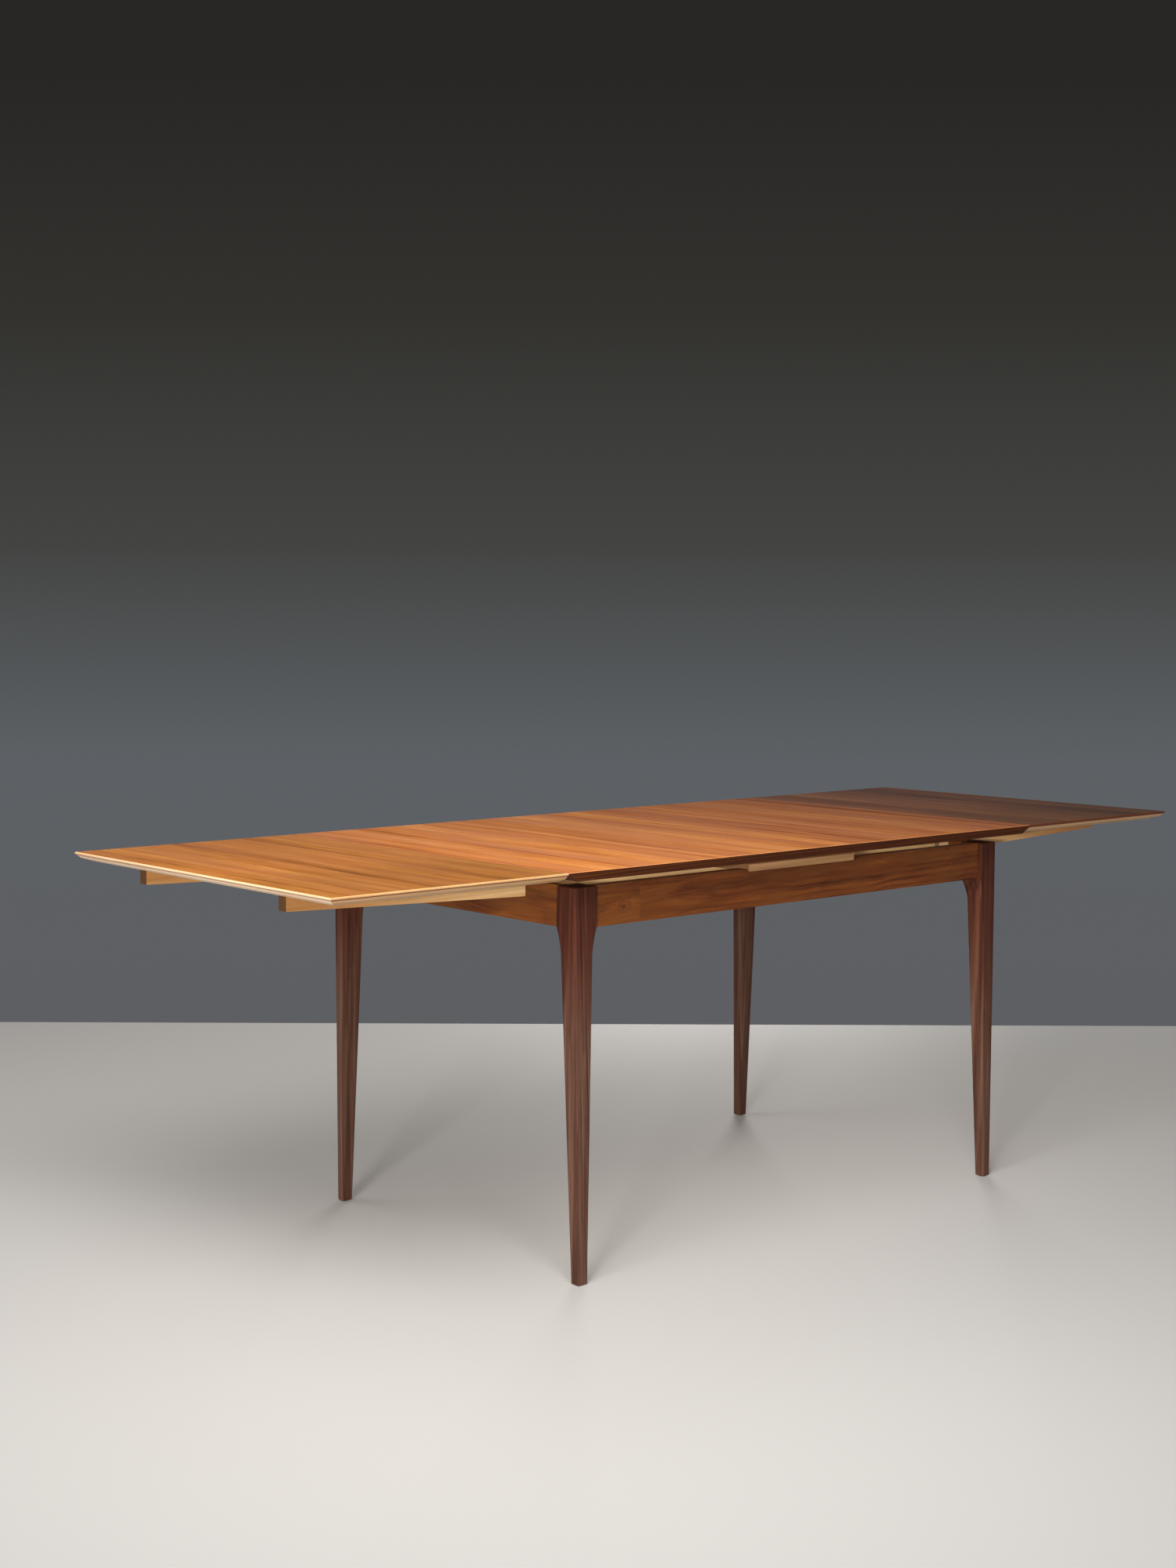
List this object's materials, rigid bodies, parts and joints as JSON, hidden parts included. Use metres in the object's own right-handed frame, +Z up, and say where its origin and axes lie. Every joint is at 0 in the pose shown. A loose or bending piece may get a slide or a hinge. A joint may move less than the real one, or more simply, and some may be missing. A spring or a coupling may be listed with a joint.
{
  "type": "draw-leaf extending table",
  "caption": "Extending dining table: a loose wooden top over a frame on flared tapered legs, with draw leaves on sloped bearers that slide out from under it.",
  "frame": {"origin": "on the floor, under the middle of the drawn-out table", "axes": "+X along the table, +Y across it to the back, +Z up"},
  "size_m": [2.2436, 0.82, 0.74],
  "materials": {
    "face_veneer": "striped orange-brown veneer, satin oil finish",
    "dark_lipping": "dark brown solid wood, satin oil finish",
    "pale_lipping": "pale solid wood, moulded, satin oil finish",
    "core_board": "sanded board with a plain back veneer",
    "pale_wood": "planed pale wood, thin lacquer",
    "leg_wood": "dark red-brown solid wood, satin oil finish",
    "apron_wood": "figured red-brown veneer, satin oil finish",
    "felt": "pressed wool felt",
    "screw_steel": "zinc-plated steel",
    "glide": "brown moulded plastic"
  },
  "bodies": {
    "base": {"apron_back": "apron_wood", "apron_front": "apron_wood", "apron_left": "apron_wood", "apron_right": "apron_wood", "board_screws": "screw_steel", "centre_board": "pale_wood", "centre_rail": "pale_wood", "corner_block_left_back": "pale_wood", "corner_block_left_front": "pale_wood", "corner_block_right_back": "pale_wood", "corner_block_right_front": "pale_wood", "corner_screws": "screw_steel", "felt_strips": "felt", "foot_glides": "glide", "leg_left_back": "leg_wood", "leg_left_front": "leg_wood", "leg_right_back": "leg_wood", "leg_right_front": "leg_wood"},
    "top": {"locating_pegs": "pale_wood", "top_board": "core_board", "top_lipping_back": "dark_lipping", "top_lipping_front": "dark_lipping", "top_lipping_left": "dark_lipping", "top_lipping_right": "dark_lipping", "top_veneer": "face_veneer"},
    "left_leaf": {"left_leaf_bearer_back": "pale_wood", "left_leaf_bearer_front": "pale_wood", "left_leaf_board": "core_board", "left_leaf_lipping_back": "pale_lipping", "left_leaf_lipping_front": "pale_lipping", "left_leaf_lipping_inner": "pale_lipping", "left_leaf_lipping_outer": "pale_lipping", "left_leaf_screws": "screw_steel", "left_leaf_stops": "pale_wood", "left_leaf_veneer": "face_veneer"},
    "right_leaf": {"right_leaf_bearer_back": "pale_wood", "right_leaf_bearer_front": "pale_wood", "right_leaf_board": "core_board", "right_leaf_lipping_back": "pale_lipping", "right_leaf_lipping_front": "pale_lipping", "right_leaf_lipping_inner": "pale_lipping", "right_leaf_lipping_outer": "pale_lipping", "right_leaf_screws": "screw_steel", "right_leaf_stops": "pale_wood", "right_leaf_veneer": "face_veneer"}
  },
  "joints": [
    {"name": "top_lift", "type": "slide", "parent": "base", "child": "top", "axis": [0, 0, 1], "range_m": [0, 0.35]},
    {"name": "left_leaf_slide", "type": "slide", "parent": "base", "child": "left_leaf", "axis": [0.9994, 0, -0.035], "range_m": [0, 0.488]},
    {"name": "right_leaf_slide", "type": "slide", "parent": "base", "child": "right_leaf", "axis": [-0.9994, 0, -0.035], "range_m": [0, 0.488]}
  ],
  "couplings": [
    {"joint": "left_leaf_slide", "follows": "top_lift", "ratio": 1.3943},
    {"joint": "right_leaf_slide", "follows": "top_lift", "ratio": 1.3943}
  ]
}
